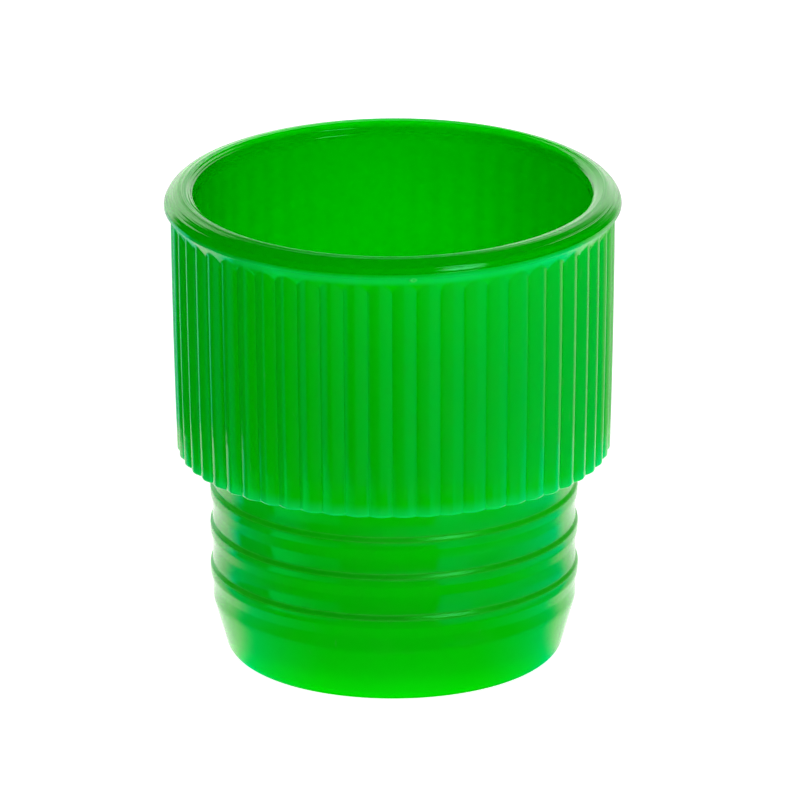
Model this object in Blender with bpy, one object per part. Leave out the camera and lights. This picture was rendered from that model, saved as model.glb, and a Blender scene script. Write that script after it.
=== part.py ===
"""Push-in stopper for a 16 mm laboratory tube, moulded in one piece from green polyethylene.

The stopper is a hollow body of revolution. Its wide upper half is the grip: a lipped mouth over a skirt
with vertical flutes. Its narrow lower half is the plug: three shallow sealing rings, a tapered nose and a
closed base. The underside of the grip is a flat shoulder that rests on the rim of the tube.

The part stands on its base: the origin is the centre of the base, and +Z runs up the axis to the mouth.
Dimensions are in millimetres and become metres where the mesh is made.
"""

import math
from collections import namedtuple

import bmesh
import bpy

MM = 0.001

# Heights above the base, along the axis.
TOTAL_HEIGHT = 18.50
SHOULDER_HEIGHT = 8.08
NOSE_HEIGHT = 2.22
FLOOR_THICKNESS = 0.90

# Mouth lip: a rounded bead that stands out a little over the flutes.
LIP_RADIUS = 8.70
LIP_CREST_RADIUS = 8.00
LIP_INNER_RISE = 0.32
LIP_OUTER_DROP = 0.63
LIP_FULLNESS = 1.7
LIP_SIDE_HEIGHT = 0.03
LIP_UNDERCUT_RADIUS = 8.49
LIP_UNDERCUT_HEIGHT = 17.76

# Fluted skirt: rounded ribs with sharp valleys between them, on a slight draft with a faint bulge.
FLUTE_COUNT = 56
FLUTE_DEPTH = 0.15
FLUTE_ROUNDNESS = 1.5
FLUTE_TOP_HEIGHT = 17.50
SKIRT_TOP_RADIUS = 8.450
SKIRT_BOTTOM_RADIUS = 8.247
SKIRT_BULGE = 0.026
SKIRT_EDGE = 0.12

# Plug: a plain cylinder with three raised rings, each with a short upper step and a longer lower slope.
PLUG_RADIUS = 6.91
RING_RELIEF = 0.09
RING_HEIGHTS = (6.50, 5.01, 3.36)
RING_LAND = 0.32
RING_STEP = 0.22
RING_SLOPE = 0.44

# Nose: a taper that ends in a rounded edge and a flat base.
NOSE_TAPER = 0.285
NOSE_ROUNDING = 0.65

# Hollow: the mouth's bore, a step behind the shoulder, and the plug's bore.
MOUTH_BORE_RADIUS = 7.57
MOUTH_BORE_FOOT_RADIUS = 7.28
STEP_HEIGHT = 9.00
STEP_FILLET = 0.30
PLUG_BORE_RADIUS = 6.12
PLUG_BORE_FOOT_RADIUS = 5.85
FLOOR_FILLET = 0.60

# Facets around the axis. A rib takes four, so that its crest, shoulders and valley are all points.
RIBBED_SIDES = 4 * FLUTE_COUNT
ROUND_SIDES = 2 * FLUTE_COUNT
BORE_SIDES = FLUTE_COUNT
ARC_STEPS = 3

GREEN = (0.0, 0.42, 0.02, 1.0)
ROUGHNESS = 0.22
SMOOTH_ANGLE = math.radians(32)

# One horizontal ring of vertices: its crest radius, height, facets, and the depth of its valleys.
Ring = namedtuple("Ring", "radius height sides valley", defaults=(0.0,))


def clear_scene():
    """Remove every object that the file already holds."""
    for thing in list(bpy.data.objects):
        bpy.data.objects.remove(thing, do_unlink=True)


def arc(centre, radii, start, end, sides, steps=ARC_STEPS, fullness=2.0):
    """Rings along an arc of the profile. Angles in degrees, 0 outward and 90 up.

    A fullness of 2 is an ellipse; less than 2 flattens the arc towards a chamfer.
    """
    rings = []
    for step in range(steps + 1):
        angle = math.radians(start + (end - start) * step / steps)
        across, up = math.cos(angle), math.sin(angle)
        radius = centre[0] + math.copysign(abs(across) ** (2 / fullness), across) * radii[0]
        height = centre[1] + math.copysign(abs(up) ** (2 / fullness), up) * radii[1]
        rings.append(Ring(radius, height, sides))
    return rings


def nose_rings():
    """The rounded edge of the base and the foot of the taper above it."""
    lean = math.atan(NOSE_TAPER)
    centre_height = NOSE_ROUNDING
    taper_radius = PLUG_RADIUS - NOSE_TAPER * (NOSE_HEIGHT - centre_height)
    centre_radius = taper_radius - NOSE_ROUNDING / math.cos(lean)
    rounding = (NOSE_ROUNDING, NOSE_ROUNDING)
    return arc((centre_radius, centre_height), rounding, -90, -math.degrees(lean), ROUND_SIDES, 4)


def sealing_ring(height):
    """One raised ring, from the foot of its lower slope to the head of its upper step."""
    crest = PLUG_RADIUS + RING_RELIEF
    low_land = height - RING_LAND / 2
    high_land = height + RING_LAND / 2
    return [
        Ring(PLUG_RADIUS, low_land - RING_SLOPE, ROUND_SIDES),
        Ring(crest, low_land, ROUND_SIDES),
        Ring(crest, high_land, ROUND_SIDES),
        Ring(PLUG_RADIUS, high_land + RING_STEP, ROUND_SIDES),
    ]


def plug_rings():
    """The outside of the plug, from the head of the taper to the shoulder."""
    rings = [Ring(PLUG_RADIUS, NOSE_HEIGHT, ROUND_SIDES)]
    for height in sorted(RING_HEIGHTS):
        rings += sealing_ring(height)
    rings.append(Ring(PLUG_RADIUS, SHOULDER_HEIGHT, ROUND_SIDES))
    return rings


def skirt_rings():
    """The fluted skirt: its bottom edge is broken by a small bevel, and its ribs end under the lip."""
    edge_radius = SKIRT_BOTTOM_RADIUS - SKIRT_EDGE
    edge_height = SHOULDER_HEIGHT + SKIRT_EDGE
    middle_radius = (SKIRT_BOTTOM_RADIUS + SKIRT_TOP_RADIUS) / 2 + SKIRT_BULGE
    middle_height = (edge_height + FLUTE_TOP_HEIGHT) / 2
    return [
        Ring(edge_radius, SHOULDER_HEIGHT, RIBBED_SIDES, FLUTE_DEPTH),
        Ring(SKIRT_BOTTOM_RADIUS, edge_height, RIBBED_SIDES, FLUTE_DEPTH),
        Ring(middle_radius, middle_height, RIBBED_SIDES, FLUTE_DEPTH),
        Ring(SKIRT_TOP_RADIUS, FLUTE_TOP_HEIGHT, RIBBED_SIDES, FLUTE_DEPTH),
    ]


def lip_rings():
    """The lip, from its undercut round the outside, over the crest and down into the mouth."""
    side_top = TOTAL_HEIGHT - LIP_OUTER_DROP
    outer_radii = (LIP_RADIUS - LIP_CREST_RADIUS, LIP_OUTER_DROP)
    inner_radii = (LIP_CREST_RADIUS - MOUTH_BORE_RADIUS, LIP_INNER_RISE)
    inner_foot = TOTAL_HEIGHT - LIP_INNER_RISE
    rings = [
        Ring(LIP_UNDERCUT_RADIUS, LIP_UNDERCUT_HEIGHT, ROUND_SIDES),
        Ring(LIP_RADIUS, side_top - LIP_SIDE_HEIGHT, ROUND_SIDES),
    ]
    crest = (LIP_CREST_RADIUS, side_top)
    rings += arc(crest, outer_radii, 0, 90, ROUND_SIDES, fullness=LIP_FULLNESS)
    rings += arc((LIP_CREST_RADIUS, inner_foot), inner_radii, 90, 180, ROUND_SIDES)[1:]
    return rings


def bore_rings():
    """The hollow, from the foot of the mouth's bore down to the edge of the floor."""
    fillet = (STEP_FILLET, STEP_FILLET)
    floor_fillet = (FLOOR_FILLET, FLOOR_FILLET)
    step_outer = (MOUTH_BORE_FOOT_RADIUS - STEP_FILLET, STEP_HEIGHT + STEP_FILLET)
    step_inner = (PLUG_BORE_RADIUS + STEP_FILLET, STEP_HEIGHT - STEP_FILLET)
    floor_corner = (PLUG_BORE_FOOT_RADIUS - FLOOR_FILLET, FLOOR_THICKNESS + FLOOR_FILLET)
    rings = arc(step_outer, fillet, 0, -90, BORE_SIDES)
    rings += arc(step_inner, fillet, 90, 180, BORE_SIDES)
    rings += arc(floor_corner, floor_fillet, 0, -90, BORE_SIDES)
    return rings


def ring_vertices(mesh, ring):
    """Vertices of one ring, counter-clockwise from above. A rib's crest lies on +X."""
    vertices = []
    for index in range(ring.sides):
        turn = index / ring.sides
        from_crest = abs((turn * FLUTE_COUNT + 0.5) % 1.0 - 0.5) * 2
        radius = ring.radius - ring.valley * from_crest**FLUTE_ROUNDNESS
        angle = 2 * math.pi * turn
        place = (radius * math.cos(angle), radius * math.sin(angle), ring.height)
        vertices.append(mesh.verts.new([value * MM for value in place]))
    return vertices


def bridge(mesh, lower, upper):
    """Faces between two rings of vertices, where one may have a whole multiple of the other's count."""
    if len(lower) == len(upper):
        for index in range(len(lower)):
            after = (index + 1) % len(lower)
            mesh.faces.new((lower[index], lower[after], upper[after], upper[index]))
        return
    coarse, fine = sorted((lower, upper), key=len)
    ratio = len(fine) // len(coarse)
    for index, corner in enumerate(coarse):
        start = index * ratio
        middle = start + ratio // 2
        following = coarse[(index + 1) % len(coarse)]
        triangles = [(corner, fine[k], fine[(k + 1) % len(fine)]) for k in range(start, middle)]
        triangles.append((corner, fine[middle], following))
        triangles += [
            (following, fine[k], fine[(k + 1) % len(fine)]) for k in range(middle, start + ratio)
        ]
        for triangle in triangles:
            mesh.faces.new(triangle[::-1] if fine is upper else triangle)


def cap(mesh, ring, height):
    """Close the end of the profile with a fan of triangles to a point on the axis."""
    centre = mesh.verts.new((0.0, 0.0, height * MM))
    for index, vertex in enumerate(ring):
        mesh.faces.new((centre, vertex, ring[(index + 1) % len(ring)]))


def green_polyethylene():
    """Glossy green moulded plastic."""
    material = bpy.data.materials.new("green_polyethylene")
    material.use_nodes = True
    shader = material.node_tree.nodes["Principled BSDF"]
    shader.inputs["Base Color"].default_value = GREEN
    shader.inputs["Roughness"].default_value = ROUGHNESS
    shader.inputs["Metallic"].default_value = 0.0
    return material


def make_stopper():
    """The whole moulding: one closed skin up the outside, over the lip and down the hollow."""
    profile = nose_rings() + plug_rings() + skirt_rings() + lip_rings() + bore_rings()
    mesh = bmesh.new()
    loops = [ring_vertices(mesh, ring) for ring in profile]
    for lower, upper in zip(loops, loops[1:]):
        bridge(mesh, lower, upper)
    cap(mesh, loops[0][::-1], profile[0].height)
    cap(mesh, loops[-1], profile[-1].height)
    mesh.normal_update()
    data = bpy.data.meshes.new("stopper")
    mesh.to_mesh(data)
    mesh.free()
    data.shade_smooth()
    data.set_sharp_from_angle(angle=SMOOTH_ANGLE)
    data.materials.append(green_polyethylene())
    stopper = bpy.data.objects.new("stopper", data)
    bpy.context.collection.objects.link(stopper)


clear_scene()
make_stopper()
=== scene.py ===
"""Looks for the tube stopper: a green polyethylene moulding on a pale floor in soft studio light.

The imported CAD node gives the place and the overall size. The piece built here has the same dimensions as
the node, with finer facets, and with the small radii, flute ends and moulding marks of the real plastic.
Lengths are in millimetres until a mesh is made; heights are above the base. Node trees work in metres.
"""

import math
from collections import namedtuple

import bmesh
import bpy
from mathutils import Matrix, Vector


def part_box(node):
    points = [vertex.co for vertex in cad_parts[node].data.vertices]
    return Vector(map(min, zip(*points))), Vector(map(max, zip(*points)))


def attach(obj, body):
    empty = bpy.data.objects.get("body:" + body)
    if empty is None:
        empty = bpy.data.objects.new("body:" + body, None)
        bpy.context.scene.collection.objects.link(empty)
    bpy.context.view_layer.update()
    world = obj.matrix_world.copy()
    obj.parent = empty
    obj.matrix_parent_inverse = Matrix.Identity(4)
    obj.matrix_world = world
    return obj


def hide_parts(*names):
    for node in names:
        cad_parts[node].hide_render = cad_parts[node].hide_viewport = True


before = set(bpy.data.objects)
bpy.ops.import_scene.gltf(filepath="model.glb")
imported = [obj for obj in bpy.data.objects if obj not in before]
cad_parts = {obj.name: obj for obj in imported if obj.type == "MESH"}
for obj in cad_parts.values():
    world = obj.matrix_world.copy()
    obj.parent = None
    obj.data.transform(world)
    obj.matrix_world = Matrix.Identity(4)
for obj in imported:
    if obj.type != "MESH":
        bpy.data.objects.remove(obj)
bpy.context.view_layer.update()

# ---------------------------------------------------------------------------------------------------------
# Dimensions
# ---------------------------------------------------------------------------------------------------------

NODE = "stopper"
MM = 0.001

low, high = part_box(NODE)
AXIS = (low + high) / 2
TOTAL_HEIGHT = (high.z - low.z) / MM
LIP_RADIUS = (high.x - low.x) / 2 / MM

SHOULDER_HEIGHT = 8.08
NOSE_HEIGHT = 2.22
FLOOR_THICKNESS = 0.90

LIP_CREST_RADIUS = 8.00
LIP_INNER_RISE = 0.32
LIP_OUTER_DROP = 0.63
LIP_FULLNESS = 1.7
LIP_UNDERSIDE_HEIGHT = 17.80
LIP_UNDERSIDE_RADIUS = 8.56
LIP_UNDERSIDE_DROP = 0.07

FLUTE_COUNT = 56
FLUTE_DEPTH = 0.15
FLUTE_ROUNDNESS = 1.5
# The share of the depth that is a narrow groove at the bottom of each valley, and how sharp that groove is.
FLUTE_GROOVE = 0.12
FLUTE_GROOVE_SHARPNESS = 12
FLUTE_RUNOUT_HEIGHT = 16.9
FILLET_FOOT_HEIGHT = 17.05
FILLET_FOOT_RADIUS = 8.27
FILLET_CURVE = 1.3
FILLET_SOFTNESS = 0.03
SKIRT_TOP_HEIGHT = 17.50
SKIRT_TOP_RADIUS = 8.450
SKIRT_BOTTOM_RADIUS = 8.247
SKIRT_BULGE = 0.026
SKIRT_EDGE = 0.16

PLUG_RADIUS = 6.91
RING_RELIEF = 0.09
RING_HEIGHTS = (3.36, 5.01, 6.50)
RING_LAND = 0.32
RING_STEP = 0.22
RING_SLOPE = 0.44
RING_SLOPE_CURVE = 1.15
RING_CROWN = 0.012
RING_CROWN_LIMIT = 0.008
PLUG_ROOT_FILLET = 0.12
SHOULDER_RADII = (7.45, 7.80)

NOSE_TAPER = 0.285
NOSE_TAPER_HEIGHTS = (0.9, 1.3, 1.7)
NOSE_ROUNDING = 0.65
NOSE_BLEND = 0.14

MOUTH_BORE_RADIUS = 7.57
MOUTH_BORE_FOOT_RADIUS = 7.28
STEP_HEIGHT = 9.00
STEP_FILLET = 0.30
PLUG_BORE_RADIUS = 6.12
PLUG_BORE_FOOT_RADIUS = 5.85
FLOOR_FILLET = 0.60
FLOOR_RADII = (3.6, 1.8, 0.5)

# Gate mark: a shallow dish in the middle of the base with the cut sprue's stub in it.
GATE_DISH_RADIUS = 1.35
GATE_DISH_DEPTH = 0.16
GATE_STUB_RADIUS = 0.38
GATE_STUB_FOOT_RADIUS = 0.418
GATE_STUB_HEIGHT = 0.10
GATE_STUB_CHAMFER = 0.03
GATE_STUB_HOLLOW = 0.01

# Facets around a round ring, and around one that follows the flutes.
ROUND_SIDES = 4 * FLUTE_COUNT
RIBBED_SIDES = 24 * FLUTE_COUNT
# Faces that meet at more than this are shaded with a crisp edge.
SHARP_EDGE = math.radians(38)

Ring = namedtuple("Ring", "radius height sides fluted", defaults=(False,))


# ---------------------------------------------------------------------------------------------------------
# Shape
# ---------------------------------------------------------------------------------------------------------

def smooth(value):
    """0 to 1 with level ends."""
    value = min(1.0, max(0.0, value))
    return value * value * (3 - 2 * value)


def metres(*lengths):
    """Lengths in millimetres, as a node tree needs them."""
    return [length * MM for length in lengths]


def arc(centre, radii, start, end, steps, sides=ROUND_SIDES, fluted=False, fullness=2.0):
    """Rings along an arc of the profile. Angles in degrees, 0 outward and 90 up."""
    rings = []
    for step in range(steps + 1):
        angle = math.radians(start + (end - start) * step / steps)
        across, up = math.cos(angle), math.sin(angle)
        radius = centre[0] + math.copysign(abs(across) ** (2 / fullness), across) * radii[0]
        height = centre[1] + math.copysign(abs(up) ** (2 / fullness), up) * radii[1]
        rings.append(Ring(radius, height, sides, fluted))
    return rings


def base_rings():
    """The gate mark in the middle of the base, from the stub outwards."""
    stub_top = GATE_DISH_DEPTH - GATE_STUB_HEIGHT
    rings = [
        Ring(GATE_STUB_RADIUS * 0.5, stub_top + GATE_STUB_HOLLOW, ROUND_SIDES),
        Ring(GATE_STUB_RADIUS * 0.9, stub_top, ROUND_SIDES),
        Ring(GATE_STUB_RADIUS, stub_top + GATE_STUB_CHAMFER, ROUND_SIDES),
        Ring(GATE_STUB_FOOT_RADIUS, GATE_DISH_DEPTH, ROUND_SIDES),
    ]
    dish_steps = 8
    for step in range(1, dish_steps + 1):
        share = step / dish_steps
        radius = GATE_STUB_FOOT_RADIUS + (GATE_DISH_RADIUS - GATE_STUB_FOOT_RADIUS) * share
        rings.append(Ring(radius, GATE_DISH_DEPTH * (1 - smooth(share)), ROUND_SIDES))
    return rings


def nose_rings():
    """The rounded edge of the base and the taper above it, up to where the cylinder starts."""
    lean = math.atan(NOSE_TAPER)
    taper_radius = PLUG_RADIUS - NOSE_TAPER * (NOSE_HEIGHT - NOSE_ROUNDING)
    centre = (taper_radius - NOSE_ROUNDING / math.cos(lean), NOSE_ROUNDING)
    rings = arc(centre, (NOSE_ROUNDING, NOSE_ROUNDING), -90, -math.degrees(lean), 12)
    for height in NOSE_TAPER_HEIGHTS:
        rings.append(Ring(PLUG_RADIUS - NOSE_TAPER * (NOSE_HEIGHT - height), height, ROUND_SIDES))
    blend_steps = 6
    for step in range(blend_steps + 1):
        height = NOSE_HEIGHT - NOSE_BLEND + 2 * NOSE_BLEND * step / blend_steps
        below = NOSE_HEIGHT + NOSE_BLEND - height
        radius = PLUG_RADIUS - NOSE_TAPER * below * below / (4 * NOSE_BLEND)
        rings.append(Ring(radius, height, ROUND_SIDES))
    return rings


def plug_relief(height):
    """How far the plug's surface stands out of its plain cylinder at a height."""
    relief = 0.0
    for middle in RING_HEIGHTS:
        low_land, high_land = middle - RING_LAND / 2, middle + RING_LAND / 2
        below = (height - low_land + RING_SLOPE) / RING_SLOPE
        above = (high_land + RING_STEP - height) / RING_STEP
        crown = RING_CROWN * (1 - ((height - middle) / (RING_LAND / 2)) ** 2)
        share = min(1.0, max(0.0, below)) ** RING_SLOPE_CURVE * smooth(above)
        relief = max(relief, RING_RELIEF * share + (crown if low_land < height < high_land else 0))
    return min(relief, RING_RELIEF + RING_CROWN_LIMIT)


def plug_rings():
    """The plug's cylinder with its sealing rings, up to the fillet under the shoulder."""
    start, end = NOSE_HEIGHT + 0.2, SHOULDER_HEIGHT - PLUG_ROOT_FILLET
    # Heights where the surface bends: the slope under each ring, its land and the step above it.
    marks = {start, end}
    for middle in RING_HEIGHTS:
        low_land, high_land = middle - RING_LAND / 2, middle + RING_LAND / 2
        marks |= {low_land - RING_SLOPE * step / 5 for step in range(6)}
        marks |= {low_land + 0.03, low_land - 0.02, middle, high_land - 0.03}
        marks |= {high_land + RING_STEP * step / 6 for step in range(7)}
    heights = sorted(h for h in marks if start <= h <= end)
    rings = [Ring(PLUG_RADIUS + plug_relief(h), h, ROUND_SIDES) for h in heights]
    centre = (PLUG_RADIUS + PLUG_ROOT_FILLET, SHOULDER_HEIGHT - PLUG_ROOT_FILLET)
    rings += arc(centre, (PLUG_ROOT_FILLET, PLUG_ROOT_FILLET), 180, 90, 4)[1:]
    rings += [Ring(radius, SHOULDER_HEIGHT, ROUND_SIDES) for radius in SHOULDER_RADII]
    return rings


def skirt_radius(height):
    """Radius over the ribs."""
    bottom = SHOULDER_HEIGHT + SKIRT_EDGE
    share = (height - bottom) / (SKIRT_TOP_HEIGHT - bottom)
    bulge = SKIRT_BULGE * 4 * share * (1 - share)
    return SKIRT_BOTTOM_RADIUS + (SKIRT_TOP_RADIUS - SKIRT_BOTTOM_RADIUS) * share + max(0, bulge)


def fillet_radius(height):
    """Radius of the concave surface that the ribs run out into, under the lip; none lower down."""
    if height < FILLET_FOOT_HEIGHT:
        return 0.0
    share = (height - FILLET_FOOT_HEIGHT) / (LIP_UNDERSIDE_HEIGHT - FILLET_FOOT_HEIGHT)
    return FILLET_FOOT_RADIUS + (LIP_UNDERSIDE_RADIUS - FILLET_FOOT_RADIUS) * share**FILLET_CURVE


def skirt_rings():
    """The ribs, from the rounded bottom edge up to where they have run out under the lip."""
    bottom = SHOULDER_HEIGHT + SKIRT_EDGE
    corner = (SKIRT_BOTTOM_RADIUS - SKIRT_EDGE, bottom)
    rings = arc(corner, (SKIRT_EDGE, SKIRT_EDGE), -90, 0, 5, RIBBED_SIDES, True)
    stretches = ((bottom, FLUTE_RUNOUT_HEIGHT, 12), (FLUTE_RUNOUT_HEIGHT, LIP_UNDERSIDE_HEIGHT, 16))
    for start, end, steps in stretches:
        for step in range(1, steps + 1):
            height = start + (end - start) * step / steps
            rings.append(Ring(skirt_radius(height), height, RIBBED_SIDES, True))
    return rings


def lip_rings():
    """The lip: its underside, the widest edge, the crest and the edge of the mouth."""
    side_top = TOTAL_HEIGHT - LIP_OUTER_DROP
    under = (LIP_RADIUS - LIP_UNDERSIDE_RADIUS, LIP_UNDERSIDE_DROP)
    rings = arc((LIP_UNDERSIDE_RADIUS, side_top), under, -70, 0, 5)
    outer = (LIP_RADIUS - LIP_CREST_RADIUS, LIP_OUTER_DROP)
    inner = (LIP_CREST_RADIUS - MOUTH_BORE_RADIUS, LIP_INNER_RISE)
    rings += arc((LIP_CREST_RADIUS, side_top), outer, 0, 90, 18, fullness=LIP_FULLNESS)[1:]
    rings += arc((LIP_CREST_RADIUS, TOTAL_HEIGHT - LIP_INNER_RISE), inner, 90, 180, 12)[1:]
    return rings


def bore_rings():
    """The hollow, from the mouth down to the floor."""
    rings = []
    top, foot = TOTAL_HEIGHT - LIP_INNER_RISE, STEP_HEIGHT + STEP_FILLET
    wall_steps = 9
    for step in range(1, wall_steps):
        share = step / wall_steps
        radius = MOUTH_BORE_RADIUS + (MOUTH_BORE_FOOT_RADIUS - MOUTH_BORE_RADIUS) * share
        rings.append(Ring(radius, top + (foot - top) * share, ROUND_SIDES))
    fillet = (STEP_FILLET, STEP_FILLET)
    rings += arc((MOUTH_BORE_FOOT_RADIUS - STEP_FILLET, foot), fillet, 0, -90, 6)
    rings += arc((PLUG_BORE_RADIUS + STEP_FILLET, STEP_HEIGHT - STEP_FILLET), fillet, 90, 180, 6)
    floor_corner = (PLUG_BORE_FOOT_RADIUS - FLOOR_FILLET, FLOOR_THICKNESS + FLOOR_FILLET)
    rings += arc(floor_corner, (FLOOR_FILLET, FLOOR_FILLET), 0, -90, 8)
    rings += [Ring(radius, FLOOR_THICKNESS, ROUND_SIDES) for radius in FLOOR_RADII]
    return rings


def fluted_radius(ring, turn):
    """The ring's radius at a turn of 0 to 1, with a rib's crest at 0, softly joined to the lip's fillet."""
    from_crest = abs((turn * FLUTE_COUNT + 0.5) % 1.0 - 0.5) * 2
    groove = FLUTE_GROOVE * from_crest**FLUTE_GROOVE_SHARPNESS
    valley = (1 - FLUTE_GROOVE) * from_crest**FLUTE_ROUNDNESS + groove
    rib = ring.radius - FLUTE_DEPTH * valley
    fillet = fillet_radius(ring.height)
    near = max(0.0, FILLET_SOFTNESS - abs(rib - fillet)) / FILLET_SOFTNESS
    return max(rib, fillet) + FILLET_SOFTNESS * near * near / 4


def ring_vertices(mesh, ring):
    """Vertices of one ring, counter-clockwise from above. A rib's crest lies on +X."""
    vertices = []
    for index in range(ring.sides):
        turn = index / ring.sides
        radius = fluted_radius(ring, turn) if ring.fluted else ring.radius
        angle = 2 * math.pi * turn
        place = Vector((radius * math.cos(angle), radius * math.sin(angle), ring.height)) * MM
        vertices.append(mesh.verts.new(place + Vector((AXIS.x, AXIS.y, low.z))))
    return vertices


def bridge(mesh, lower, upper):
    """Faces between two rings, where one may have a whole multiple of the other's vertices."""
    if len(lower) == len(upper):
        for index in range(len(lower)):
            after = (index + 1) % len(lower)
            mesh.faces.new((lower[index], lower[after], upper[after], upper[index]))
        return
    coarse, fine = sorted((lower, upper), key=len)
    ratio = len(fine) // len(coarse)
    for index, corner in enumerate(coarse):
        start = index * ratio
        middle = start + ratio // 2
        following = coarse[(index + 1) % len(coarse)]
        triangles = [(corner, fine[k], fine[(k + 1) % len(fine)]) for k in range(start, middle)]
        triangles.append((corner, fine[middle], following))
        triangles += [
            (following, fine[k], fine[(k + 1) % len(fine)]) for k in range(middle, start + ratio)
        ]
        for triangle in triangles:
            mesh.faces.new(triangle[::-1] if fine is upper else triangle)


def cap(mesh, ring, height):
    """Close the end of the profile with a fan of triangles to a point on the axis."""
    centre = mesh.verts.new((AXIS.x, AXIS.y, low.z + height * MM))
    for index, vertex in enumerate(ring):
        mesh.faces.new((centre, vertex, ring[(index + 1) % len(ring)]))


def make_stopper():
    """The moulding as one closed skin."""
    profile = base_rings() + nose_rings() + plug_rings() + skirt_rings() + lip_rings() + bore_rings()
    mesh = bmesh.new()
    loops = [ring_vertices(mesh, ring) for ring in profile]
    for lower, upper in zip(loops, loops[1:]):
        bridge(mesh, lower, upper)
    cap(mesh, loops[0][::-1], profile[0].height + GATE_STUB_HOLLOW)
    cap(mesh, loops[-1], profile[-1].height)
    data = bpy.data.meshes.new("stopper_moulding")
    mesh.to_mesh(data)
    mesh.free()
    data.shade_smooth()
    data.set_sharp_from_angle(angle=SHARP_EDGE)
    piece = bpy.data.objects.new("stopper_moulding", data)
    bpy.context.scene.collection.objects.link(piece)
    return piece


# ---------------------------------------------------------------------------------------------------------
# Node trees
# ---------------------------------------------------------------------------------------------------------

class Nodes:
    """Short calls for building a node tree."""

    def __init__(self, tree):
        self.tree = tree

    def new(self, kind, inputs=(), **settings):
        node = self.tree.nodes.new(kind)
        for name, value in settings.items():
            setattr(node, name, value)
        for socket, value in dict(inputs).items():
            if isinstance(value, bpy.types.NodeSocket):
                self.tree.links.new(value, node.inputs[socket])
            else:
                node.inputs[socket].default_value = value
        return node

    def math(self, operation, *values):
        node = self.new("ShaderNodeMath", dict(enumerate(values)), operation=operation)
        return node.outputs[0]

    def total(self, first, *others):
        for value in others:
            first = self.math("ADD", first, value)
        return first

    def product(self, first, *others):
        for value in others:
            first = self.math("MULTIPLY", first, value)
        return first

    def length(self, x, y):
        return self.math("SQRT", self.total(self.product(x, x), self.product(y, y)))

    def between(self, value, from_low, from_high, to_low=0.0, to_high=1.0):
        """A soft ramp from to_low to to_high, level outside its two ends."""
        node = self.new("ShaderNodeMapRange", {
            "Value": value, "From Min": from_low, "From Max": from_high,
            "To Min": to_low, "To Max": to_high,
        }, interpolation_type="SMOOTHSTEP")
        return node.outputs["Result"]

    def noise(self, vector, scale, detail=2.0, roughness=0.5):
        node = self.new("ShaderNodeTexNoise", {
            "Vector": vector, "Scale": scale, "Detail": detail, "Roughness": roughness,
        })
        return node.outputs[0]

    def blend(self, share, first, second):
        return self.new("ShaderNodeMix", {0: share, 2: first, 3: second}).outputs[0]

    def blend_colour(self, share, first, second):
        node = self.new("ShaderNodeMix", {0: share, 6: first, 7: second}, data_type="RGBA")
        return node.outputs[2]

    def from_axis(self):
        """The angle round the axis and the distance from it, of a place on a floor sheet."""
        place = self.new("ShaderNodeTexCoord").outputs["Object"]
        x, y, _ = self.new("ShaderNodeSeparateXYZ", {0: place}).outputs
        return self.around(x, y), self.length(x, y)

    def around(self, x, y):
        """The angle round the axis in degrees, 0 towards the front and positive to the right."""
        return self.math("DEGREES", self.math("ARCTAN2", x, self.product(y, -1.0)))


# ---------------------------------------------------------------------------------------------------------
# Material
# ---------------------------------------------------------------------------------------------------------

# Each pair is the two ends of a cloudy variation.
# The plug's darker greens are painted shade under the skirt's overhang.
PLUG_GREENS_PAINTED_SHADE = ((0.0, 0.785, 0.0, 1), (0.0, 0.815, 0.0, 1))
GRIP_GREENS = ((0.0, 0.845, 0.0, 1), (0.0, 0.875, 0.0, 1))
# Painted glow on the skirt's thin bottom edge and painted highlight on the band under the lip.
GLOW_AND_HIGHLIGHT_GREEN = (0.004, 0.97, 0.130, 1)
SCRATCH_GREEN = (0.10, 0.72, 0.12, 1)
NICK_GREEN = (0.10, 0.95, 0.16, 1)
# Painted shade down the sides of the hollow.
PAINTED_SHADE_BLACK = (0.0, 0.0, 0.0, 1)

# Noise scales, in cells per metre.
TURNED_SCALE = 5200.0
BROAD_TURNED_SCALE = 2400.0
RIPPLE_SCALE = 420.0
GRAIN_SCALE = 9000.0
SCRATCH_SCALE = (900.0, 9000.0, 900.0)
CLOUD_SCALE = 260.0
PATCH_SCALE = 700.0
POLISH_SCALE = 1500.0

# Bump heights.
TURNED_BUMP = 0.0900 * MM
BROAD_TURNED_BUMP = 0.0035 * MM
RIPPLE_BUMP = 0.0200 * MM
GRAIN_BUMP = 0.0005 * MM
SCRATCH_BUMP = 0.0010 * MM
NICK_BUMP = 0.0300 * MM

SMOOTHEST, ROUGHEST = 0.07, 0.11
LIP_POLISH = 0.03
SCRATCH_ROUGHNESS = 0.10
SHOULDER_SCUFF = 0.22

PLASTIC_IOR = 1.51
SCATTER_RADIUS = (0.10, 1.0, 0.12)
SCATTER_SCALE = 10.0 * MM
SCATTER_OUTSIDE = 0.35
SCATTER_FAR_LIP = 0.75
SCATTER_HOLLOW_FOOT = 0.54
SCATTER_HOLLOW_MOUTH = 0.40
# How dark the painted shade down the sides of the hollow is.
HOLLOW_SIDE_PAINTED_SHADE = 0.30

SCRATCH_TURN = (0.3, 0.7, 0.5)
# How far the painted highlight under the lip goes toward the paler green.
UNDER_LIP_PAINTED_HIGHLIGHT = 0.65
SCRATCH_TINT = 0.12
NICK_TINT = 0.5
NICK_PLACE = Vector((0.33, -8.60, 17.74)) * MM


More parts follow.
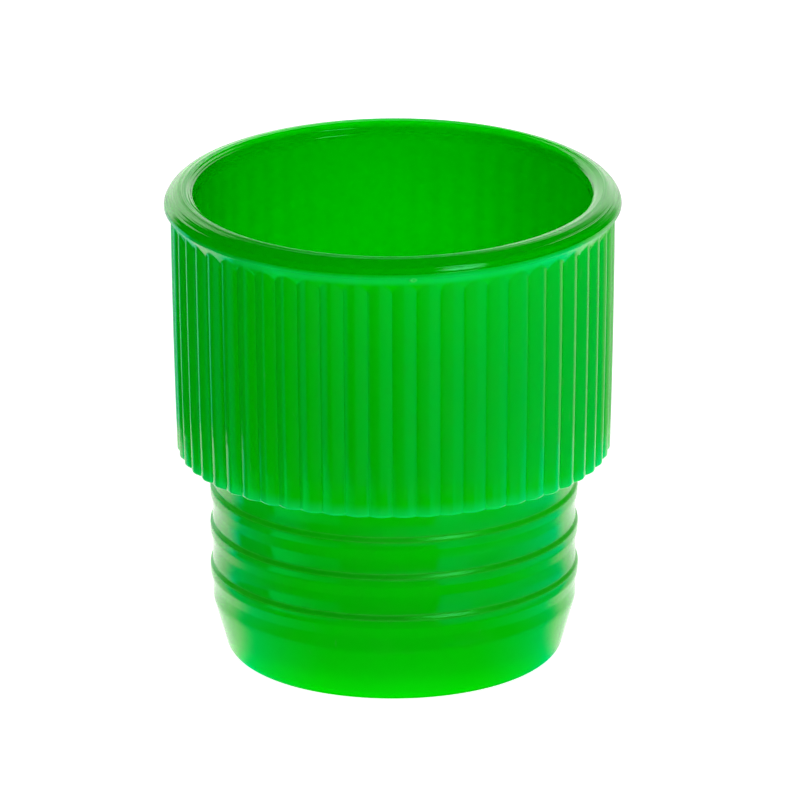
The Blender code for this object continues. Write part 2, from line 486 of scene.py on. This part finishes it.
def plastic_bump(nodes, place, x, z, radial, on_lip, scratches, nick):
    """Turned rings, soft ripples, fine grain, scratches and the nick, as a normal."""
    # The turned mould's rings are noise that changes with radius and height, and hardly at all around.
    turned_place = nodes.new("ShaderNodeCombineXYZ", {
        0: radial, 1: z, 2: nodes.product(x, 0.004),
    }).outputs[0]
    turned = nodes.noise(turned_place, TURNED_SCALE, 2.0, 0.6)
    broad_turned = nodes.noise(turned_place, BROAD_TURNED_SCALE, 1.0)
    ripple = nodes.noise(place, RIPPLE_SCALE)
    grain = nodes.noise(place, GRAIN_SCALE, 2.0, 0.6)
    height = nodes.total(
        nodes.product(on_lip, TURNED_BUMP, turned),
        nodes.product(broad_turned, BROAD_TURNED_BUMP),
        nodes.product(ripple, RIPPLE_BUMP),
        nodes.product(grain, GRAIN_BUMP),
        nodes.product(scratches, -SCRATCH_BUMP),
        nodes.product(nick, NICK_BUMP),
    )
    bump = nodes.new("ShaderNodeBump", {"Strength": 1.0, "Distance": 1.0, "Height": height})
    return bump.outputs["Normal"]


def painted_edge_light(nodes, place, z, radial):
    """Painted glow on the skirt's thin bottom edge and a painted highlight on the band under the lip."""
    skirt_edge_glow = nodes.product(
        nodes.between(z, *metres(SHOULDER_HEIGHT + 0.62, SHOULDER_HEIGHT + 0.02)),
        nodes.between(z, *metres(SHOULDER_HEIGHT - 0.18, SHOULDER_HEIGHT - 0.08)),
    )
    rim = LIP_UNDERSIDE_HEIGHT
    under_lip_highlight = nodes.product(
        nodes.between(z, *metres(rim - 0.36, rim - 0.12), 0.0, UNDER_LIP_PAINTED_HIGHLIGHT),
        nodes.between(z, *metres(rim + 0.22, rim + 0.04)),
    )
    outside = nodes.between(radial, *metres(SHOULDER_RADII[1], SHOULDER_RADII[1] + 0.10))
    patchy = nodes.between(nodes.noise(place, PATCH_SCALE), 0.25, 0.75, 0.70, 1.0)
    return nodes.product(nodes.math("MAXIMUM", skirt_edge_glow, under_lip_highlight), outside, patchy)


def plastic_colour(nodes, place, x, z, radial, hollow, scratches, nick):
    """Cloudy green, paler in the scratches and at the nick, with a painted glow on the skirt's bottom edge,
    a painted highlight under the lip, painted shade on the plug under the skirt and down the sides of the
    hollow."""
    cloud = nodes.between(nodes.noise(place, CLOUD_SCALE, 3.0), 0.3, 0.7)
    plug = nodes.blend_colour(cloud, *PLUG_GREENS_PAINTED_SHADE)
    grip = nodes.blend_colour(cloud, *GRIP_GREENS)
    # Below the shoulder the darker plug greens are painted shade under the skirt.
    in_grip = nodes.between(z, *metres(SHOULDER_HEIGHT - 0.18, SHOULDER_HEIGHT + 0.22))
    green = nodes.blend_colour(in_grip, plug, grip)
    # Painted glow on the skirt's bottom edge and painted highlight under the lip.
    green = nodes.blend_colour(painted_edge_light(nodes, place, z, radial), green, GLOW_AND_HIGHLIGHT_GREEN)
    green = nodes.blend_colour(nodes.product(scratches, SCRATCH_TINT), green, SCRATCH_GREEN)
    green = nodes.blend_colour(nodes.product(nick, NICK_TINT), green, NICK_GREEN)
    # Painted shade: the hollow is darker towards its sides.
    sides = nodes.total(nodes.between(x, *metres(2.5, 5.5)), nodes.between(x, *metres(-5.5, -7.2)))
    return nodes.blend_colour(nodes.product(hollow, sides, HOLLOW_SIDE_PAINTED_SHADE), green, PAINTED_SHADE_BLACK)


def plastic_roughness(nodes, place, z, on_lip, scratches):
    """Glossy, most of all on the lip, and scuffed on the shoulders of the sealing rings."""
    roughness = nodes.total(
        nodes.between(nodes.noise(place, POLISH_SCALE, 3.0), 0.3, 0.7, SMOOTHEST, ROUGHEST),
        nodes.product(on_lip, -LIP_POLISH),
        nodes.product(scratches, SCRATCH_ROUGHNESS),
    )
    for middle in RING_HEIGHTS:
        shoulder = (middle + (RING_LAND + RING_STEP) / 2) * MM
        from_shoulder = nodes.math("ABSOLUTE", nodes.math("SUBTRACT", z, shoulder))
        scuff = nodes.between(from_shoulder, *metres(0.18, 0.08), 0.0, SHOULDER_SCUFF)
        roughness = nodes.total(roughness, scuff)
    return roughness


def polyethylene():
    """Glossy, translucent green low-density polyethylene, with turned-tool rings and light wear."""
    material = bpy.data.materials.new("green_polyethylene_moulding")
    material.use_nodes = True
    nodes = Nodes(material.node_tree)
    shader = material.node_tree.nodes["Principled BSDF"]
    place = nodes.new("ShaderNodeTexCoord").outputs["Object"]
    x, y, z = nodes.new("ShaderNodeSeparateXYZ", {0: place}).outputs
    radial = nodes.length(x, y)
    on_lip = nodes.between(z, *metres(LIP_UNDERSIDE_HEIGHT + 0.02, LIP_UNDERSIDE_HEIGHT + 0.20))
    hollow = nodes.product(
        nodes.between(z, *metres(STEP_HEIGHT - 0.20, STEP_HEIGHT + 0.20)),
        nodes.between(radial, *metres(MOUTH_BORE_RADIUS + 0.13, MOUTH_BORE_RADIUS + 0.03)),
    )

    # Fine handling scratches.
    scratch_place = nodes.new("ShaderNodeMapping", {
        "Vector": place, "Rotation": SCRATCH_TURN, "Scale": SCRATCH_SCALE,
    }).outputs[0]
    scratches = nodes.between(nodes.noise(scratch_place, 1.0), 0.70, 0.78)

    # A small nick under the lip: a raised ring round a pit.
    from_nick = nodes.new(
        "ShaderNodeVectorMath", {0: place, 1: NICK_PLACE}, operation="DISTANCE").outputs["Value"]
    pit = nodes.between(from_nick, *metres(0.10, 0.05))
    nick = nodes.math("SUBTRACT", nodes.between(from_nick, *metres(0.20, 0.12)), pit)

    # The wall of the hollow passes light from outside, less so where the lip thickens it.
    far_lip = nodes.product(on_lip, nodes.between(y, *metres(1.0, 5.0)))
    scatter = nodes.blend(far_lip, SCATTER_OUTSIDE, SCATTER_FAR_LIP)
    through_wall = nodes.between(z, *metres(14.0, 18.0), SCATTER_HOLLOW_FOOT, SCATTER_HOLLOW_MOUTH)

    for socket, value in {
        "Base Color": plastic_colour(nodes, place, x, z, radial, hollow, scratches, nick),
        "Subsurface Weight": nodes.blend(hollow, scatter, through_wall),
        "Roughness": plastic_roughness(nodes, place, z, on_lip, scratches),
        "Normal": plastic_bump(nodes, place, x, z, radial, on_lip, scratches, nick),
    }.items():
        material.node_tree.links.new(value, shader.inputs[socket])
    shader.inputs["Metallic"].default_value = 0.0
    shader.inputs["IOR"].default_value = PLASTIC_IOR
    shader.subsurface_method = "RANDOM_WALK"
    shader.inputs["Subsurface Radius"].default_value = SCATTER_RADIUS
    shader.inputs["Subsurface Scale"].default_value = SCATTER_SCALE
    shader.inputs["Subsurface Anisotropy"].default_value = 0.0
    return material


stopper = make_stopper()
stopper.data.materials.append(polyethylene())
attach(stopper, "root")
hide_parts(NODE)


# ---------------------------------------------------------------------------------------------------------
# Studio
# ---------------------------------------------------------------------------------------------------------

# Angles here are in degrees round the axis, 0 at the front and positive to the right. Distances along the
# floor are from the axis.

WHITE = (1.0, 1.0, 0.97, 1.0)
TEAL = (0.0, 1.0, 0.85, 1.0)
GREEN_PANEL = (0.0, 1.0, 0.24, 1.0)

# The floor's glow, as a share of full white, and how much light it throws back.
FLOOR_GLOW = 0.82
FLOOR_GLOW_LEFT = 0.28
FLOOR_GLOW_NEAR = 0.96
FLOOR_ALBEDO = 0.50

# What the gloss mirrors. The far surround shows in the grip and the near one in the plug.
BACKDROP = 1.25
BACKDROP_ABOVE = 1.60
BACKDROP_OPPOSITE = 0.45
OPPOSITE_ANGLE = 177.0
FAR_LEFT = 0.95
FAR_RIGHT = 0.80
FAR_FRONT = 0.58
FAR_PANEL = 0.38
FAR_GAP = 0.12
NEAR_PANEL = 0.56
NEAR_PANEL_FALL = 0.26
NEAR_LEFT_STEP = 0.50
NEAR_LEFT_RISE = 1.60
NEAR_GAP = 0.05
CLOSE_PANEL = 0.42
LAMP_DIRECTION = Vector((0.468, -0.620, 0.630))
LAMP_EDGE_COSINES = (0.981, 0.988)
LAMP_GLOSS = 10.0
LAMP_COLOUR = (0.15, 1.0, 0.50, 1.0)

# The light that the plastic scatters.
FRONT_LIGHT = 1.02
RIGHT_LIGHT = 0.08
LEFT_LIGHT = 0.0
REAR_SIDE_LIGHT = 0.16
BACK_LIGHT = 5.0
TOP_LIGHT = 0.06
TOP_LIGHT_BEHIND = 0.60

FLOOR_RADIUS = 600.0 * MM
FLOOR_DEPTH = 0.02 * MM
TABLE_RADIUS = 120.0 * MM
TABLE_DEPTH = 0.04 * MM


def floor_disc(name, radius, depth):
    """A round sheet just under the object."""
    data = bpy.data.meshes.new(name)
    mesh = bmesh.new()
    bmesh.ops.create_circle(mesh, cap_ends=True, radius=radius, segments=96)
    bmesh.ops.translate(mesh, verts=mesh.verts, vec=(AXIS.x, AXIS.y, low.z - depth))
    mesh.to_mesh(data)
    mesh.free()
    disc = bpy.data.objects.new(name, data)
    bpy.context.scene.collection.objects.link(disc)
    material = bpy.data.materials.new(name)
    material.use_nodes = True
    data.materials.append(material)
    return disc, material


def make_floor():
    """A pale lit floor under the object, which its gloss does not mirror. Only the camera sees it evenly
    white: the light it throws on the object is brightest close by and dimmer on the left."""
    floor, material = floor_disc("pale_floor", FLOOR_RADIUS, FLOOR_DEPTH)
    shader = material.node_tree.nodes["Principled BSDF"]
    nodes = Nodes(material.node_tree)
    angle, away = nodes.from_axis()
    left = nodes.product(nodes.between(angle, 2.0, -44.0), nodes.between(angle, -150.0, -110.0))
    glow = nodes.blend(left, FLOOR_GLOW, FLOOR_GLOW_LEFT)
    glow = nodes.blend(nodes.between(away, *metres(10.0, 20.0)), FLOOR_GLOW_NEAR, glow)
    seen = nodes.new("ShaderNodeLightPath").outputs["Is Camera Ray"]
    material.node_tree.links.new(nodes.blend(seen, glow, 1.0), shader.inputs["Emission Strength"])
    shader.inputs["Base Color"].default_value = (FLOOR_ALBEDO, FLOOR_ALBEDO, FLOOR_ALBEDO, 1)
    shader.inputs["Roughness"].default_value = 0.6
    shader.inputs["Specular IOR Level"].default_value = 0.0
    shader.inputs["Emission Color"].default_value = (1, 1, 1, 1)
    floor.visible_glossy = False


def far_surround(nodes, angle):
    """What stands round the object in front of the backdrop, as its upper half mirrors it: brighter to the
    right, with one lighter panel and a darker gap to the left."""
    front = nodes.between(angle, -45.0, 60.0, 0.0, FAR_FRONT)
    panel = nodes.between(angle, -50.0, -66.0, 0.0, FAR_PANEL)
    gap = nodes.between(angle, -84.0, -76.0, FAR_GAP, 1.0)
    panels = nodes.total(front, nodes.product(panel, gap))
    panels = nodes.blend(nodes.between(angle, 113.0, 119.0), panels, FAR_RIGHT)
    return nodes.blend(nodes.between(angle, -122.0, -128.0), panels, FAR_LEFT)


def near_surround(nodes, angle):
    """The same as its lower half mirrors it: a panel on each side of the dark lens, with crisp edges."""
    panel = nodes.between(angle, 19.0, 22.0, 0.0, NEAR_PANEL)
    right = nodes.math("SUBTRACT", panel, nodes.between(angle, 36.0, 42.0, 0.0, NEAR_PANEL_FALL))
    right = nodes.math("MAXIMUM", right, nodes.between(angle, 28.0, 110.0, 0.0, BACKDROP))
    left = nodes.total(
        nodes.between(angle, -30.0, -35.0, 0.0, NEAR_LEFT_STEP),
        nodes.between(angle, -40.0, -70.0, 0.0, NEAR_LEFT_RISE),
    )
    gap = nodes.between(angle, -76.0, -73.5, NEAR_GAP, 1.0)
    panels = nodes.total(right, nodes.product(left, gap))
    return nodes.blend(nodes.between(nodes.math("ABSOLUTE", angle), 100.0, 106.0), panels, BACKDROP)


def surround_colour(nodes, angle, start, end):
    """The panels beside the lens are teal and the backdrop is white, from start to end degrees round."""
    return nodes.blend_colour(nodes.between(nodes.math("ABSOLUTE", angle), start, end), TEAL, WHITE)


def far_colour(nodes, angle):
    """The same further out, where the left side stays teal for longer."""
    left = nodes.math("LESS_THAN", angle, 0.0)
    start = nodes.blend(left, 98.0, 120.0)
    return surround_colour(nodes, angle, start, nodes.blend(left, 112.0, 170.0))


def make_reflected_table():
    """What the gloss mirrors low down, and nothing else sees: a white table in three zones. Close in, it
    carries the object's own shade at the front. The next zone shows in the plug, the last in the grip."""
    disc, material = floor_disc("reflected_table", TABLE_RADIUS, TABLE_DEPTH)
    tree = material.node_tree
    tree.nodes.remove(tree.nodes["Principled BSDF"])
    nodes = Nodes(tree)
    angle, away = nodes.from_axis()
    turn = nodes.math("ABSOLUTE", angle)
    near = nodes.between(away, *metres(17.1, 17.7))
    beyond = nodes.between(away, *metres(28.5, 30.5))

    shade = nodes.product(
        nodes.between(away, *metres(10.0, 13.0)), nodes.between(away, *metres(18.0, 16.0)))
    start = nodes.total(28.0, nodes.product(shade, 27.0))
    end = nodes.total(110.0, nodes.product(shade, 35.0))
    strength = nodes.between(turn, start, end, 0.0, BACKDROP)
    panel = nodes.between(angle, 19.0, 22.0, 0.0, CLOSE_PANEL)
    panel = nodes.product(panel, nodes.between(away, *metres(12.5, 15.0)))
    strength = nodes.math("MAXIMUM", strength, panel)
    strength = nodes.blend(near, strength, near_surround(nodes, angle))
    strength = nodes.blend(beyond, strength, far_surround(nodes, angle))

    outward = nodes.between(away, *metres(7.0, 16.5))
    start = nodes.total(68.0, nodes.product(outward, 36.0))
    colour = surround_colour(nodes, angle, start, nodes.total(start, 16.0))
    left_panel = nodes.product(
        nodes.between(angle, -28.0, -30.0), nodes.between(angle, -82.0, -78.0), near)
    colour = nodes.blend_colour(left_panel, colour, GREEN_PANEL)
    colour = nodes.blend_colour(beyond, colour, far_colour(nodes, angle))

    glow = nodes.new("ShaderNodeEmission", {"Color": colour, "Strength": strength})
    tree.links.new(glow.outputs[0], tree.nodes["Material Output"].inputs["Surface"])
    disc.visible_camera = disc.visible_diffuse = disc.visible_shadow = False
    disc.visible_transmission = disc.visible_volume_scatter = False


def mirrored_world(nodes, direction, angle, turn, z):
    """What the gloss mirrors above the table, as a strength and a colour: the backdrop behind, dark above
    its top edge and teal straight opposite the lens, then the far surround at the horizon, and one lamp."""
    across = nodes.total(nodes.between(angle, -138.0, -148.0), nodes.between(angle, 140.0, 152.0))
    top = nodes.between(turn, 179.0, 168.0, 0.34, 0.67)
    to_left = nodes.math("LESS_THAN", angle, 0.0)
    lower = nodes.product(to_left, nodes.between(turn, 158.0, 142.0, 0.0, 0.30))
    below_top = nodes.between(nodes.math("SUBTRACT", z, nodes.math("SUBTRACT", top, lower)), 0.05, -0.05)
    off_opposite = nodes.math("ABSOLUTE", nodes.math("SUBTRACT", angle, OPPOSITE_ANGLE))
    opposite = nodes.between(off_opposite, 0.6, 1.6, BACKDROP_OPPOSITE, 1.0)
    backdrop = nodes.product(across, below_top, nodes.product(opposite, BACKDROP_ABOVE))
    above = nodes.between(z, -0.12, -0.04)
    toward_lamp = nodes.new(
        "ShaderNodeVectorMath", {0: direction, 1: LAMP_DIRECTION}, operation="DOT_PRODUCT").outputs["Value"]
    lamp = nodes.between(toward_lamp, *LAMP_EDGE_COSINES)
    strength = nodes.total(
        nodes.blend(above, far_surround(nodes, angle), backdrop), nodes.product(lamp, LAMP_GLOSS))
    colour = nodes.blend_colour(opposite, TEAL, WHITE)
    colour = nodes.blend_colour(above, far_colour(nodes, angle), colour)
    return strength, nodes.blend_colour(lamp, colour, LAMP_COLOUR)


def scattered_world(nodes, angle, turn, z):
    """The light that the plastic scatters: strong from behind, soft from the front, dim from the sides."""
    right = nodes.between(angle, -10.0, 48.0, FRONT_LIGHT, RIGHT_LIGHT)
    left = nodes.between(angle, 0.0, -55.0, FRONT_LIGHT, LEFT_LIGHT)
    sides = nodes.math("MINIMUM", left, right)
    sides = nodes.total(sides, nodes.between(turn, 85.0, 120.0, 0.0, REAR_SIDE_LIGHT))
    behind = nodes.total(nodes.between(angle, -132.0, -150.0), nodes.between(angle, 154.0, 176.0))
    overhead = nodes.between(turn, 75.0, 120.0, TOP_LIGHT, TOP_LIGHT_BEHIND)
    return nodes.blend(nodes.between(z, 0.20, 0.50), nodes.blend(behind, sides, BACK_LIGHT), overhead)


def make_world():
    """White to the camera. The object sees one studio by its gloss and another by its scattered light."""
    world = bpy.data.worlds.new("studio")
    bpy.context.scene.world = world
    world.use_nodes = True
    world.cycles.sampling_method = "NONE"
    nodes = Nodes(world.node_tree)
    shader = world.node_tree.nodes["Background"]
    direction = nodes.new("ShaderNodeTexCoord").outputs["Generated"]
    x, y, z = nodes.new("ShaderNodeSeparateXYZ", {0: direction}).outputs
    angle = nodes.around(x, y)
    turn = nodes.math("ABSOLUTE", angle)
    ray = nodes.new("ShaderNodeLightPath").outputs
    mirrored, mirrored_colour = mirrored_world(nodes, direction, angle, turn, z)
    scattered = scattered_world(nodes, angle, turn, z)
    strength = nodes.blend(ray["Is Glossy Ray"], scattered, mirrored)
    strength = nodes.blend(ray["Is Camera Ray"], strength, 1.0)
    colour = nodes.blend_colour(ray["Is Glossy Ray"], (1, 1, 1, 1), mirrored_colour)
    world.node_tree.links.new(colour, shader.inputs["Color"])
    world.node_tree.links.new(strength, shader.inputs["Strength"])


# ---------------------------------------------------------------------------------------------------------
# Camera
# ---------------------------------------------------------------------------------------------------------

VIEW_TURN = math.radians(-2.9)
VIEW_TILT = math.radians(19.6)
VIEW_ROLL = math.radians(-0.25)
VIEW_DISTANCE = 1.1
VIEW_WIDTH = 30.444 * MM
AIM_RIGHT = 0.244 * MM
AIM_HEIGHT = 9.937 * MM
SENSOR_WIDTH = 36.0


def make_camera():
    """A long lens a little above the rim, at the angle of the product shot."""
    data = bpy.data.cameras.new("camera")
    data.sensor_width = SENSOR_WIDTH
    data.lens = SENSOR_WIDTH * VIEW_DISTANCE / VIEW_WIDTH
    data.clip_start, data.clip_end = 0.05, 5.0
    camera = bpy.data.objects.new("camera", data)
    bpy.context.scene.collection.objects.link(camera)
    back = Vector((
        math.sin(VIEW_TURN) * math.cos(VIEW_TILT),
        -math.cos(VIEW_TURN) * math.cos(VIEW_TILT),
        math.sin(VIEW_TILT),
    ))
    right = Vector((math.cos(VIEW_TURN), math.sin(VIEW_TURN), 0.0))
    aim = Vector((AXIS.x, AXIS.y, low.z + AIM_HEIGHT)) + right * AIM_RIGHT
    turn = (-back).to_track_quat("-Z", "Y").to_matrix() @ Matrix.Rotation(VIEW_ROLL, 3, "Z")
    camera.rotation_mode = "QUATERNION"
    camera.rotation_quaternion = turn.to_quaternion()
    camera.location = aim + back * VIEW_DISTANCE
    bpy.context.scene.camera = camera


make_floor()
make_reflected_table()
make_world()
make_camera()
bpy.context.scene.view_settings.view_transform = "Standard"
bpy.context.scene.view_settings.look = "None"
